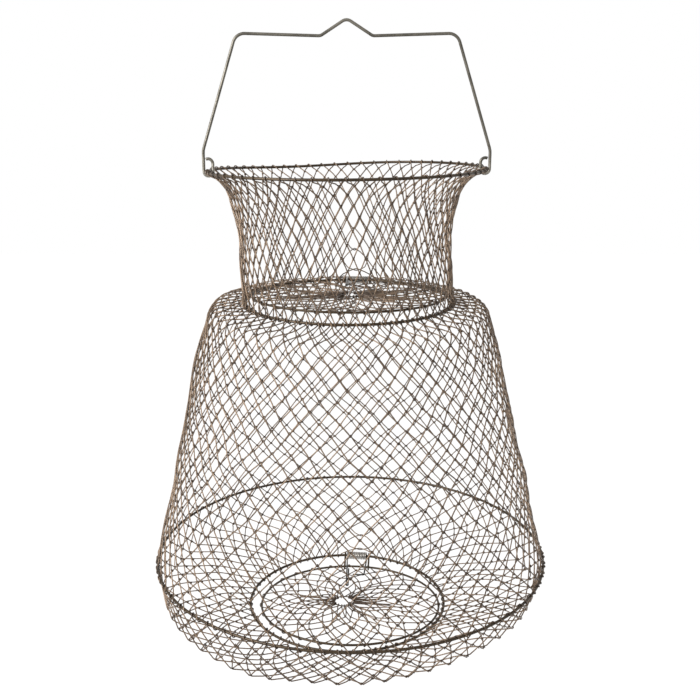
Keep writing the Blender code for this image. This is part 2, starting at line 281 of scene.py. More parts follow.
def wire_surface(path, facing, radius, wear_and_shade, closed, sides):
    """Points, four-cornered faces, end faces, straightened places, wear and painted shade of round
    wires.

    path holds (wires, points, 3).  At each point the wire runs from the point before to the point
    after.  The first axis of its round section is facing less its share along the wire, the second
    is the wire's direction x the first, and a point at angle a of the section is the path's point
    + radius x (cos a x first + sin a x second).  A straightened place is (the distance along the
    wire, radius x cos a, radius x sin a).
    """
    wires, points = path.shape[:2]
    if closed:
        before = np.roll(path, 1, axis=1)
        after = np.roll(path, -1, axis=1)
    else:
        before = np.concatenate((path[:, :1], path[:, :-1]), axis=1)
        after = np.concatenate((path[:, 1:], path[:, -1:]), axis=1)
    along = unit(after - before)
    facing = np.broadcast_to(facing, path.shape)
    first = unit(facing - along * np.sum(facing * along, axis=-1, keepdims=True))
    second = np.cross(along, first)
    angle = (2 * math.pi * np.arange(sides) / sides)[:, None]
    thick = np.broadcast_to(radius, (wires, points))[:, :, None, None]
    surface = path[:, :, None] + thick * (
        np.cos(angle) * first[:, :, None] + np.sin(angle) * second[:, :, None]
    )
    steps = np.linalg.norm(np.diff(path, axis=1), axis=-1)
    reached = np.concatenate((np.zeros((wires, 1)), np.cumsum(steps, axis=1)), axis=1)
    straight = np.empty(surface.shape)
    straight[..., 0] = reached[:, :, None]
    straight[..., 1] = thick[..., 0] * np.cos(angle[:, 0])
    straight[..., 2] = thick[..., 0] * np.sin(angle[:, 0])
    index = np.arange(wires * points * sides).reshape(wires, points, sides)
    beside = np.roll(index, -1, axis=2)
    last = points if closed else points - 1
    quads = np.stack(
        (index, beside, np.roll(beside, -1, axis=1), np.roll(index, -1, axis=1)), axis=-1
    )[:, :last].reshape(-1, 4)
    ends = np.empty((0, sides), int)
    if not closed:
        ends = np.concatenate((index[:, 0, ::-1], index[:, -1]))
    wear_and_shade = np.repeat(np.broadcast_to(wear_and_shade, (wires, points)).ravel(), sides)
    return surface.reshape(-1, 3), quads, ends, straight.reshape(-1, 3), wear_and_shade


def wire_piece(name, runs, sides, finish):
    """One object of round wires, from a list of runs of (path, facing, radius, wear and painted shade,
    closed).
    """
    parts = [wire_surface(*run, sides) for run in runs]
    surfaces, quads, ends, straights, wear_and_shade_values = zip(*parts)
    counts = [len(surface) for surface in surfaces]
    starts = np.cumsum(counts) - counts
    quads = np.concatenate([faces + start for faces, start in zip(quads, starts)])
    ends = np.concatenate([faces + start for faces, start in zip(ends, starts)])
    sizes = np.repeat((4, sides), (len(quads), len(ends)))
    mesh = bpy.data.meshes.new(name)
    mesh.vertices.add(sum(counts))
    mesh.vertices.foreach_set("co", np.concatenate(surfaces).ravel())
    mesh.loops.add(sizes.sum())
    mesh.loops.foreach_set("vertex_index", np.concatenate((quads.ravel(), ends.ravel())))
    mesh.polygons.add(len(sizes))
    mesh.polygons.foreach_set("loop_start", np.cumsum(sizes) - sizes)
    mesh.update(calc_edges=True)
    mesh.shade_smooth()
    straight = mesh.attributes.new("straight", "FLOAT_VECTOR", "POINT")
    straight.data.foreach_set("vector", np.concatenate(straights).ravel())
    # The wear attribute holds real wear above zero and painted shade below zero.
    worn = mesh.attributes.new("wear_and_shade", "FLOAT", "POINT")
    worn.data.foreach_set("value", np.concatenate(wear_and_shade_values))
    mesh.materials.append(finish)
    piece = bpy.data.objects.new(name, mesh)
    bpy.context.scene.collection.objects.link(piece)
    return piece


def middle(node):
    """The middle of a CAD node's box."""
    low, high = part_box(node)
    return (np.array(low) + np.array(high)) / 2


def ring_radius(node):
    """The radius of a CAD ring, to the middle of its wire."""
    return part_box(node)[1][0] - middle(node)[0] - RING_WIRE / 2


top_radius = ring_radius("top_ring")
top_z = middle("top_ring")[2]
bail_eye_radius = (RING_WIRE + BAIL_EYE_OUTER_GAP + BAIL_EYE_INNER_GAP + BAIL_WIRE) / 2
leg_x = top_radius + RING_WIRE / 2 + BAIL_EYE_OUTER_GAP + BAIL_WIRE / 2
eye_x = leg_x - bail_eye_radius
eye_low = bail_eye_radius - (RING_WIRE + BAIL_WIRE) / 2 - BAIL_EYE_END_GAP
eye_high = eye_low + BAIL_EYE_HEIGHT - 2 * bail_eye_radius + BAIL_WIRE
eye_end = math.acos(
    (bail_eye_radius - BAIL_WIRE / 2 - BAIL_EYE_TIP_GAP) / (bail_eye_radius + BAIL_WIRE / 2)
)
leg = rounded(
    [
        (-BAIL_PEAK_HALF_WIDTH, BAIL_PEAK_FOOT_RISE),
        (0, BAIL_RISE),
        (BAIL_PEAK_HALF_WIDTH, BAIL_PEAK_FOOT_RISE),
        (BAIL_SHOULDER_HALF_WIDTH, BAIL_SHOULDER_RISE),
        (leg_x, BAIL_LEG_BEND_RISE),
        (leg_x, eye_low),
    ],
    BAIL_BEND_RADII,
    BEND_STEP,
)[1:-1]
peak = leg[np.abs(leg[:, 0]) <= BAIL_MIDDLE_WIDTH]
half_bail = np.vstack(
    (
        leg[leg[:, 0] > BAIL_MIDDLE_WIDTH],
        arc((eye_x, eye_low), bail_eye_radius, 0, -math.pi, BEND_STEP),
        arc((eye_x, eye_high), bail_eye_radius, math.pi, eye_end, BEND_STEP),
    )
)
flat_bail = np.vstack((half_bail[::-1] * (-1, 1), peak, half_bail))

# The bail's feet follow the drop and the roll of the mouth ring, and the rest of it stays level.
at_foot = np.clip(1 - flat_bail[:, 1] / BAIL_LEG_BEND_RISE, 0, 1)
flat_bail[:, 1] += (MOUTH_ROLL * flat_bail[:, 0] / top_radius - MOUTH_DROP) * at_foot
bail_path = np.column_stack(
    (MOUTH_SWAY + flat_bail[:, 0], np.zeros(len(flat_bail)), top_z + flat_bail[:, 1])
)
peak_wear = BAIL_PEAK_WEAR * np.exp(-((flat_bail[:, 0] / BAIL_PEAK_WORN_WIDTH) ** 2))
bail_wear = peak_wear + BAIL_EYE_WEAR * (flat_bail[:, 1] < BAIL_EYE_WORN_RISE)
bail_steel = wire_finish(
    "bail_steel",
    coat=(0.160, 0.147, 0.121),
    deep=(0.075, 0.069, 0.056),
    bare=(0.46, 0.43, 0.38),
    rough=0.44,
    metal=0.85,
    lacquer=0.12,
)
bail_run = (bail_path[None], (0, 1, 0), BAIL_WIRE / 2, bail_wear[None], False)
bail = wire_piece("bail", [bail_run], BAIL_SIDES, bail_steel)
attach(bail, "handle")
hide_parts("bail")

# The four rings are steel wire rolled to a circle and butt welded, with the bead filed nearly
# flush, then dipped in dark bronze lacquer.  The mesh knuckles rub it thin.
RING_POINTS = 288
RING_SIDES = 14
WELD_AZIMUTH = math.radians(118)
WELD_LENGTH = 0.0016
WELD_SWELL = 0.10
DIAMONDS = 58
RING_WEAR = 0.05
KNUCKLE_WEAR = 0.35
KNUCKLE_WEAR_POWER = 8
MOUTH_DENT = 0.004
MOUTH_DENT_AZIMUTH = math.radians(115)
MOUTH_DENT_SPREAD = math.radians(40)
NECK_DIP = 0.0026
BIG_SWAY = 0.0015
BASE_SWAY = -0.0015
bronze = wire_finish(
    "bronze_lacquer",
    coat=(0.052, 0.033, 0.015),
    deep=(0.022, 0.014, 0.007),
    bare=(0.28, 0.19, 0.10),
    rough=0.44,
    metal=0.55,
    lacquer=0.05,
)


def swell(azimuth, centre, spread):
    """A smooth rise to one at an azimuth: e to the power of minus (the angle from the centre /
    the spread) squared."""
    away = (azimuth - centre + math.pi) % (2 * math.pi) - math.pi
    return np.exp(-((away / spread) ** 2))


def mouth_dip(azimuth):
    """How far the mouth ring lies low: it hangs lower on the left, and has a shallow dent at its
    back."""
    dent = MOUTH_DENT * swell(azimuth, MOUTH_DENT_AZIMUTH, MOUTH_DENT_SPREAD)
    return MOUTH_DROP + dent - MOUTH_ROLL * np.cos(azimuth)


def neck_dip(azimuth):
    """How far the neck ring lies low: it is level with its hinge at the back, and tips down
    towards the front."""
    return NECK_DIP * (1 - np.sin(azimuth)) / 2


def no_dip(azimuth):
    """The other rings lie level."""
    return 0 * azimuth


rings = {}
for node, body, dip, sway in (
    ("top_ring", "mouth", mouth_dip, MOUTH_SWAY),
    ("neck_ring", "neck", neck_dip, 0),
    ("big_ring", "belly", no_dip, BIG_SWAY),
    ("base_ring", "base", no_dip, BASE_SWAY),
):
    radius = ring_radius(node)
    height = middle(node)[2]
    rings[node] = (radius, height)
    azimuth = WELD_AZIMUTH + 2 * math.pi * np.arange(RING_POINTS) / RING_POINTS
    circle = np.column_stack(
        (sway + radius * np.cos(azimuth), radius * np.sin(azimuth), height - dip(azimuth))
    )
    from_weld = radius * np.minimum(azimuth - WELD_AZIMUTH, 2 * math.pi - azimuth + WELD_AZIMUTH)
    bead = 1 + WELD_SWELL * np.exp(-((from_weld / WELD_LENGTH) ** 2))
    rubbed = np.sin(DIAMONDS / 2 * azimuth) ** KNUCKLE_WEAR_POWER
    wear_and_shade = RING_WEAR + KNUCKLE_WEAR * rubbed
    run = (circle[None], (0, 0, 1), RING_WIRE / 2 * bead, wear_and_shade[None], True)
    ring = wire_piece(node, [run], RING_SIDES, bronze)
    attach(ring, body)
    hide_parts(node)

# The mesh is thin brown lacquered wire, kinked into zigzags that screw into each other like chain
# link, one ring of zigzag to each row.  The end rows are laced straight round the rings.
MESH_WIRE = 0.0010
MESH_SIDES = 6
MESH_PLAY = 0.0001
MESH_WEAR = 0.1
# Painted shade on the mesh: at its kinks, where rows hook together, and where it is laced on the rings.
KINK_SHADE = 0.6
KINK_SHADE_POWER = 16
RING_LACE_SHADE = 0.15
NECK_ROWS = 12
BODY_ROWS = 29
BASE_SIDE_ROWS = 4
BASE_FLOOR_ROWS = 8
ROW_HOOK = 0.0008
LAYER = 0.00052
KINK = 0.985
KINK_SPREAD = 0.15
KINK_STAND = 0.36
RING_GRIP = 0.003
ROW_SAMPLES = np.array([0, 0.06, 0.16, 0.3, 0.7, 0.84, 0.94])
KNUCKLE_SAMPLES = np.array([0.24, 0.12, 0.05])
NECK_CUT = 0.58
BODY_CUT = 0.45
CUT_OVERLAP = 0.02
HALF_DIAMOND = 0.5
HINGE_TURN = math.radians(5.4)
HINGE_AZIMUTH = math.pi / 2 - HINGE_TURN
HINGE_FREE = math.radians(10)
BAIL_EYE_FREE = math.radians(4)
PARTING_WIDTH = math.radians(0.8)
PARTING_BLEND = math.radians(60)
PARTING_FADE = 0.024
OUTLINE_STEP = 0.0005
OUTLINE_SPARE = 0.006
NECK_POINTS = 80
FLARE_LENGTH = 0.0135
NECK_WAIST = 0.0012
SHOULDER_WIDTH = 0.0280
SHOULDER_DROP = 0.0008
SHOULDER_BEND = 0.011
SIDE_POINTS = 60
SIDE_BULGE = 0.0012
FOLD_INSET = 0.0065
FOLD_DROP = 0.0280
FOLD_BEND = 0.002
WAVE_COUNT = 10
WAVE_ROUNDS = 15
WAVE_SLANT = 0.045
UNEVEN_FADE_POWER = 0.7
UNEVEN_SLIDE = 0.007
UNEVEN_SAG = 0.0007
UNEVEN_BULGE = 0.0009
NECK_SEED = 11
BODY_SEED = 21
BASE_SEED = 31
NECK_LEAN = 0.0028
BODY_LEAN = 0.0010
SLUMP = 0.0090
SLUMP_PLACE = 0.030
SLUMP_SPREAD = math.radians(70)
DIP_FADE = 0.030
FOLD_RISES = (
    (-0.0073, math.radians(230), math.radians(28)),
    (0.0090, math.radians(323), math.radians(20)),
)
mesh_brown = wire_finish(
    "mesh_lacquer",
    coat=(0.225, 0.152, 0.096),
    deep=(0.065, 0.042, 0.027),
    bare=(0.40, 0.31, 0.22),
    rough=0.38,
    metal=0.4,
    lacquer=0.1,
)


def outline_of(points):
    """Distance along, radius, height and outward normal of a tube's outline, at even steps.

    The outline runs on straight past both ends, and its normal is its direction turned outwards.
    """
    ends = points[[0, -1]] + OUTLINE_SPARE * unit(points[[0, -1]] - points[[1, -2]])
    points = np.vstack((ends[:1], points, ends[1:]))
    steps = np.hypot(*np.diff(points, axis=0).T)
    along = np.concatenate(([0], np.cumsum(steps))) - OUTLINE_SPARE
    even = np.linspace(along[0], along[-1], int(np.ptp(along) / OUTLINE_STEP))
    radius = np.interp(even, along, points[:, 0])
    height = np.interp(even, along, points[:, 1])
    direction = unit(np.column_stack((np.gradient(radius), np.gradient(height))))
    return np.column_stack((even, radius, height, -direction[:, 1], direction[:, 0]))


def length_of(outline):
    """The length of an outline without its spare ends."""
    return outline[-1, 0] - OUTLINE_SPARE


def waves(azimuth, along, seed):
    """A smooth unevenness of about one: a sum of sine waves, each with a whole number of periods
    round the tube and a slant of its own along it, over the root of half their number."""
    random = np.random.default_rng(seed)
    rounds = random.integers(1, WAVE_ROUNDS + 1, WAVE_COUNT)
    slants = random.uniform(-1, 1, WAVE_COUNT) * 2 * math.pi / WAVE_SLANT
    shifts = random.uniform(0, 2 * math.pi, WAVE_COUNT)
    angles = rounds * azimuth[..., None] + slants * along[..., None] + shifts
    return np.sin(angles).sum(axis=-1) / math.sqrt(WAVE_COUNT / 2)


def whole_turns(diamonds, samples):
    """The turns of a zigzag all the way round, at the samples of each half turn."""
    return math.pi * (np.arange(2 * diamonds)[:, None] + samples).ravel()[None]


def part_turns(diamonds, knuckle, reach):
    """The turns of one stretch of each wave of a zigzag, the same way to both sides of its upper
    knuckle, 0, or its lower one, 1, as one row for each stretch."""
    half = np.concatenate(([reach], KNUCKLE_SAMPLES))
    samples = np.concatenate((-half, [0], half[::-1]))
    return math.pi * (2 * np.arange(diamonds)[:, None] + knuckle + samples)


def woven(outline, levels, first, last, diamonds, phase, reaches, turn, place_round):
    """Zigzag wires first to last of a tube, as (path, facing, radius, wear and painted shade).

    The turn t of a zigzag starts at an upper knuckle, and its height goes as the arcsine of
    KINK x cos t, a triangle wave with rounded corners.  Its way round the tube goes as t less
    half KINK_STAND x sin 2t, so that it stands steeper at the knuckles.  The wire passes to the
    front and back of the tube's surface as sin t over the root of sin t squared + KINK_SPREAD
    squared, by a layer's half thickness in the mesh and by the reach at a ring.  place_round
    turns the even azimuth and the distance along into the azimuth, the push along and out of the
    surface, the lift and the sway.
    """
    row = np.arange(first, last)[:, None]
    fall = -np.arcsin(KINK * np.cos(turn)) / math.asin(KINK)
    upper = (1 - fall) / 2
    lower = (1 + fall) / 2
    rise = np.where(row == 0, reaches[0], ROW_HOOK)
    drop = np.where(row == len(levels) - 2, reaches[1], ROW_HOOK)
    along = np.interp(row + lower, np.arange(len(levels)), levels) - rise * upper + drop * lower
    grip_top = np.exp(-((along / RING_GRIP) ** 2))
    grip_low = np.exp(-(((levels[-1] - along) / RING_GRIP) ** 2))
    layer = LAYER + (reaches[0] - LAYER) * grip_top + (reaches[1] - LAYER) * grip_low
    offset = layer * np.sin(turn) / np.sqrt(np.sin(turn) ** 2 + KINK_SPREAD**2)
    round_way = (turn - KINK_STAND / 2 * np.sin(2 * turn)) / (2 * math.pi)
    even = 2 * math.pi * (round_way + phase + row / 2) / diamonds
    azimuth, push_along, push_out, lift, sway = place_round(even, along)
    along = along + push_along
    radius, height, out, up = (
        np.interp(along, outline[:, 0], column) for column in outline[:, 1:].T
    )
    radius = radius + (offset + push_out) * out
    height = height + (offset + push_out) * up + lift
    path = np.stack((radius * np.cos(azimuth) + sway, radius * np.sin(azimuth), height), axis=-1)
    facing = np.stack((out * np.cos(azimuth), out * np.sin(azimuth), up), axis=-1)
    # Painted shade at the kinks and along the rings, over a little wear all along the wire.
    kinks = upper**KINK_SHADE_POWER + lower**KINK_SHADE_POWER
    wear_and_shade = MESH_WEAR - KINK_SHADE * kinks - RING_LACE_SHADE * (grip_top + grip_low)
    return path, facing, MESH_WIRE / 2, np.broadcast_to(wear_and_shade, azimuth.shape)


def tube_place(length, seed, clear, dips, sways, lean=0, slump=0, rises=()):
    """How the tube's mesh is laid round: a smooth unevenness that fades at the rings, and at a
    hinged ring the knuckles slid aside of the hinge.

    clear holds the places where the knuckles are slid apart: the ring, 0 for the upper and 1 for
    the lower, the azimuth between two knuckles, the azimuth that it goes to, and how far they
    part.  dips are how far the two rings lie low, as functions of azimuth, and sways how far
    they hang to the right.  lean is how far the mesh hangs over to the left between its rings.
    slump is how far it sags at the front of its shoulder, as x times e to the power of (1 - x),
    where x is the distance along / SLUMP_PLACE.  rises are (height, azimuth, spread) of the places where
    it rides up or sags.
    """

    def place(even, along):
        azimuth = even
        fade = np.sin(math.pi * np.clip(along / length, 0, 1)) ** UNEVEN_FADE_POWER
        shift = UNEVEN_SLIDE * waves(azimuth, along, seed) * fade
        sag = UNEVEN_SAG * waves(azimuth, along, seed + 1) * fade
        bulge = UNEVEN_BULGE * waves(azimuth, along, seed + 2) - lean * np.cos(azimuth)
        lift = 0
        for dip, distance in zip(dips, (along, length - along)):
            lift = lift - dip(azimuth) * np.exp(-np.maximum(distance, 0) / DIP_FADE)
        down = np.maximum(along, 0) / SLUMP_PLACE
        front = swell(azimuth, -math.pi / 2, SLUMP_SPREAD)
        lift = lift - slump * front * down * np.exp(1 - down)
        for height, centre, spread in rises:
            lift = lift + height * swell(azimuth, centre, spread) * fade
        for ring, parting, centre, free in clear:
            distance = np.maximum(length - along if ring else along, 0)
            away = (azimuth - parting + math.pi) % (2 * math.pi) - math.pi
            blend = np.maximum(0, 1 - np.abs(away) / PARTING_BLEND)
            slide = centre - parting + free * np.tanh(away / PARTING_WIDTH)
            azimuth = azimuth + slide * blend * np.exp(-distance / PARTING_FADE)
        sway = sways[0] + (sways[1] - sways[0]) * np.clip(along / length, 0, 1)
        return azimuth + shift, sag, bulge * fade, lift, sway

    return place


def at_hinge(ring, phase, sway):
    """The sliding apart of the two ring knuckles on either side of the hinge."""
    pitch = 2 * math.pi / DIAMONDS
    parting = (math.floor(HINGE_AZIMUTH / pitch - phase) + HALF_DIAMOND + phase) * pitch
    return ring, parting, HINGE_AZIMUTH + sway, HINGE_FREE


ring_reach = RING_WIRE / 2 + MESH_WIRE / 2 + MESH_PLAY


def tube_pieces(names, outline, levels, phase, place, bodies, node, cut):
    """The mesh of one length of the tube, laid on the CAD node: its end knuckles, which stay on
    the rings, and the rest in bands of equal numbers of rows.

    cut is the share of the end rows' height, from their ring, at which they are cut.
    """
    rows = len(levels) - 1
    reaches = (ring_reach, ring_reach)
    pieces = []
    for end, row, knuckle, body in (
        ("upper", 0, 0, bodies[0]),
        ("lower", rows - 1, 1, bodies[1]),
    ):
        turn = part_turns(DIAMONDS, knuckle, cut)
        run = woven(outline, levels, row, row + 1, DIAMONDS, phase, reaches, turn, place)
        pieces.append((f"{node}_{end}_knuckles", [(*run, False)], body))
    bands = np.linspace(0, rows, len(names) + 1).astype(int)
    for name, first, last in zip(names, bands, bands[1:]):
        whole = whole_turns(DIAMONDS, ROW_SAMPLES)
        spans = [(max(first, 1), min(last, rows - 1), whole, True)]
        for row, knuckle in ((0, 1), (rows - 1, 0)):
            if first <= row < last:
                part = part_turns(DIAMONDS, knuckle, 1 - cut + CUT_OVERLAP)
                spans.append((row, row + 1, part, False))
        runs = [
            (*woven(outline, levels, start, stop, DIAMONDS, phase, reaches, turn, place), closed)
            for start, stop, turn, closed in spans
        ]
        pieces.append((name, runs, bodies[0]))
    for name, runs, body in pieces:
        piece = wire_piece(name, runs, MESH_SIDES, mesh_brown)
        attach(piece, body)
        if name in names:
            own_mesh(piece)
        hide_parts(node)


# The outline of the neck falls in a flare that dies away, the body's goes out over a shoulder and
# down a side with a slight double curve, and the base's goes down to the fold and in to its ring.
neck_radius, neck_z = rings["neck_ring"]
big_radius, big_z = rings["big_ring"]
base_radius, base_z = rings["base_ring"]
neck_drop = top_z - neck_z
below_mouth = np.linspace(0, neck_drop, NECK_POINTS)
flare = (
    np.exp(-below_mouth / FLARE_LENGTH)
    - np.exp(-neck_drop / FLARE_LENGTH) * below_mouth / neck_drop
)
waist = NECK_WAIST * np.sin(math.pi * below_mouth / neck_drop)
neck_outline = outline_of(
    np.column_stack(
        (neck_radius + (top_radius - neck_radius) * flare - waist, top_z - below_mouth)
    )
)
shoulder = rounded(
    [
        (neck_radius, neck_z),
        (neck_radius + SHOULDER_WIDTH, neck_z - SHOULDER_DROP),
        (big_radius, big_z),
    ],
    [SHOULDER_BEND],
    BEND_STEP,
)
down_side = np.linspace(0, 1, SIDE_POINTS)[1:, None]
side = shoulder[-2] + down_side * (shoulder[-1] - shoulder[-2])
side[:, :1] += SIDE_BULGE * np.sin(2 * math.pi * down_side)
body_outline = outline_of(np.vstack((shoulder[:-1], side)))
base_outline = outline_of(
    rounded(
        [(big_radius, big_z), (big_radius - FOLD_INSET, big_z - FOLD_DROP), (base_radius, base_z)],
        [FOLD_BEND],
        BEND_STEP,
    )
)
neck_levels = np.linspace(0, length_of(neck_outline), NECK_ROWS + 1)
body_levels = np.linspace(0, length_of(body_outline), BODY_ROWS + 1)
fold = math.hypot(FOLD_INSET, FOLD_DROP)
base_levels = np.concatenate(
    (
        np.linspace(0, fold, BASE_SIDE_ROWS + 1)[:-1],
        np.linspace(fold, length_of(base_outline), BASE_FLOOR_ROWS + 1),
    )
)
base_rows = BASE_SIDE_ROWS + BASE_FLOOR_ROWS
neck_phase = HALF_DIAMOND
body_phase = neck_phase + NECK_ROWS / 2 + HALF_DIAMOND
base_phase = body_phase + BODY_ROWS / 2 + HALF_DIAMOND
tube_pieces(
    names=["neck_mesh"],
    outline=neck_outline,
    levels=neck_levels,
    phase=neck_phase,
    place=tube_place(
        length=neck_levels[-1],
        seed=NECK_SEED,
        clear=(
            (0, 0, 0, BAIL_EYE_FREE),
            (0, math.pi, math.pi, BAIL_EYE_FREE),
            at_hinge(1, neck_phase + NECK_ROWS / 2, 0),
        ),
        dips=(mouth_dip, neck_dip),
        sways=(MOUTH_SWAY, 0),
        lean=NECK_LEAN,
    ),
    bodies=("mouth", "neck"),
    node="neck_net",
    cut=NECK_CUT,
)
tube_pieces(
    names=["body_mesh_upper", "body_mesh_lower"],
    outline=body_outline,
    levels=body_levels,
    phase=body_phase,
    place=tube_place(
        length=body_levels[-1],
        seed=BODY_SEED,
        clear=(at_hinge(0, body_phase, 0),),
        dips=(neck_dip, no_dip),
        sways=(0, BIG_SWAY),
        lean=BODY_LEAN,
        slump=SLUMP,
    ),
    bodies=("neck", "belly"),
    node="body_net",
    cut=BODY_CUT,
)
tube_pieces(
    names=["base_mesh"],
    outline=base_outline,
    levels=base_levels,
    phase=base_phase,
    place=tube_place(
        length=base_levels[-1],
        seed=BASE_SEED,
        clear=(at_hinge(1, base_phase + base_rows / 2, BASE_SWAY / base_radius),),
        dips=(no_dip, no_dip),
        sways=(BIG_SWAY, BASE_SWAY),
        rises=FOLD_RISES,
    ),
    bodies=("belly", "base"),
    node="base_net",
    cut=BODY_CUT,
)

# Each door is a ring of thinner wire with a panel of the same mesh, whose inner end is gathered
# on a small wire eye, so that the panel lies in loose pleats.
DOOR_WIRE = 0.0019
DOOR_RADIUS = 0.078
DOOR_POINTS = 240
DOOR_EYE_WIRE = 0.0010
DOOR_EYE_RADIUS = 0.0095
DOOR_EYE_POINTS = 60
DOOR_SIDES = 12
DOOR_WEAR = 0.35
DOOR_ROWS = 8
DOOR_DIAMONDS = 27
DOOR_SAMPLES = np.array([0, 0.05, 0.12, 0.24, 0.76, 0.88, 0.95])
DOOR_PHASE = 0.25
DOOR_SEEDS = {"neck": 41, "base": 51}
DOOR_RISES = {"neck": (0.0012, 0.0052), "base": (-0.0083, 0.0017)}
DOOR_SWAYS = {"neck": 0, "base": 0.0012}
DOOR_EYE_SHIFTS = {"neck": (0.002, 0.0), "base": (-0.0055, 0.0015)}
PLEATS = {
    "neck": ((1, 0.15, 0.1), (3, 0.08, 1.1), (5, 0.06, 1.0)),
    "base": ((2, 0.06, 0.12), (3, 0.08, 0.9), (7, 0.05, 2.0)),
}
PLEAT_HEIGHT = 0.0030
PANEL_CRUMPLE = 0.06
PANEL_RIPPLE = 0.0008
PANEL_SLIDE = 0.0016
# Painted shade darkens each door panel towards its middle, where the mesh is gathered on the eye.
CENTRE_SHADE = 0.5
CENTRE_SHADE_WIDTH = 0.016
hinge_cos = math.cos(HINGE_TURN)
hinge_sin = math.sin(HINGE_TURN)


def door_lie(place):
    """How far the middle of a door's ring lies above its frame ring, and the door's slope, which
    is the arcsine of its rise from back to front / its width."""
    back, front = DOOR_RISES[place]
    return (back + front) / 2, math.asin((front - back) / (2 * DOOR_RADIUS))


def door_frame(place):
    """The middle of a door's ring, and its axes to the right, to the back and up, as rows."""
    rise, slope = door_lie(place)
    cos, sin = math.cos(slope), math.sin(slope)
    tilt = np.array([[1, 0, 0], [0, cos, -sin], [0, sin, cos]])
    turn = np.array([[hinge_cos, -hinge_sin, 0], [hinge_sin, hinge_cos, 0], [0, 0, 1]])
    centre = np.array([DOOR_SWAYS[place], 0, rings[place + "_ring"][1] + rise])
    return centre, tilt @ turn


def pleated(pleats, seed):
    """How a door's mesh is laid round: crumpled, and drawn together into pleats near the middle,
    which also stand out of the door's plane.

    Each pleat is (count round the door, draw, azimuth): the mesh is moved round by draw x the
    cube of the way in x the sine of count x (its azimuth - the pleat's), which crowds it there.
    """

    def place(even, along):
        inward = np.clip(along / (DOOR_RADIUS - DOOR_EYE_RADIUS), 0, 1)
        fade = np.sin(math.pi * inward)
        azimuth = even + PANEL_CRUMPLE * inward * waves(even, along, seed)
        ripple = PANEL_RIPPLE * waves(even, along, seed + 1)
        for count, draw, centre in pleats:
            azimuth = azimuth - draw * inward**3 * np.sin(count * (even - centre))
            ripple = ripple + PLEAT_HEIGHT * draw * inward * np.cos(count * (even - centre))
        slide = PANEL_SLIDE * waves(azimuth, along, seed + 2) * fade
        return azimuth, slide, ripple * fade, 0, 0

    return place


door_outline = outline_of(np.array([(DOOR_RADIUS, 0.0), (DOOR_EYE_RADIUS, 0.0)]))
door_levels = np.linspace(0, length_of(door_outline), DOOR_ROWS + 1)
door_reaches = (
    DOOR_WIRE / 2 + MESH_WIRE / 2 + MESH_PLAY,
    DOOR_EYE_WIRE / 2 + MESH_WIRE / 2 + MESH_PLAY,
)
door_turns = whole_turns(DOOR_DIAMONDS, DOOR_SAMPLES)
for place in ("neck", "base"):
    centre, axes = door_frame(place)
    body = place + "_door"
    for part, radius, wire, count, shift in (
        ("ring", DOOR_RADIUS, DOOR_WIRE, DOOR_POINTS, (0, 0)),
        ("eye", DOOR_EYE_RADIUS, DOOR_EYE_WIRE, DOOR_EYE_POINTS, DOOR_EYE_SHIFTS[place]),
    ):
        azimuth = math.pi / 2 + 2 * math.pi * np.arange(count) / count
        flat = np.column_stack(
            (radius * np.cos(azimuth) + shift[0], radius * np.sin(azimuth) + shift[1], 0 * azimuth)
        )
        node = f"{body}_{part}"
        run = ((flat @ axes + centre)[None], axes[2], wire / 2, DOOR_WEAR, True)
        ring = wire_piece(node, [run], DOOR_SIDES, bronze)
        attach(ring, body)
        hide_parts(node)
    path, facing, radius, wear_and_shade = woven(
        door_outline,
        door_levels,
        0,
        DOOR_ROWS,
        DOOR_DIAMONDS,
        DOOR_PHASE,
        door_reaches,
        door_turns,
        pleated(PLEATS[place], DOOR_SEEDS[place]),
    )
    reach = np.linalg.norm(path[..., :2], axis=-1)
    inward = np.clip((DOOR_RADIUS - reach) / (DOOR_RADIUS - DOOR_EYE_RADIUS), 0, 1)
    path[..., :2] += inward[..., None] ** 2 * DOOR_EYE_SHIFTS[place]
    # Painted shade towards the gathered middle of the panel.
    wear_and_shade = wear_and_shade - CENTRE_SHADE * np.exp(-((reach / CENTRE_SHADE_WIDTH) ** 2))
    run = (path @ axes + centre, facing @ axes, radius, wear_and_shade, True)
    panel = wire_piece(body + "_mesh", [run], MESH_SIDES, mesh_brown)
    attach(panel, body)
    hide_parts(body + "_net")

# A door hangs on two links, one on either side of its spring: a short length of lacquered wire
# bent to a long loop and closed round the frame ring and the door ring.
LINK_WIRE = 0.0014
LINK_SIDES = 12
LINK_HALF_SPREAD = 0.0114
LINK_PLAY = 0.0007
LINK_WEAR = 0.4
LINK_STEP = 2 * BEND_STEP
link_reach = RING_WIRE / 2 + LINK_WIRE / 2 + LINK_PLAY
door_link_reach = DOOR_WIRE / 2 + LINK_WIRE / 2 + LINK_PLAY
hinge_reach = math.sqrt(neck_radius**2 - LINK_HALF_SPREAD**2)
hinge_right = np.array([hinge_cos, -hinge_sin, 0])


def hinge_place(place, across, back, up):
    """Points of the row frame from a door's hinge: across to the right, back from it and up."""
    x = across * hinge_cos + (hinge_reach + back) * hinge_sin
    y = (hinge_reach + back) * hinge_cos - across * hinge_sin
    return np.stack(np.broadcast_arrays(x, y, rings[place + "_ring"][1] + up), axis=-1)


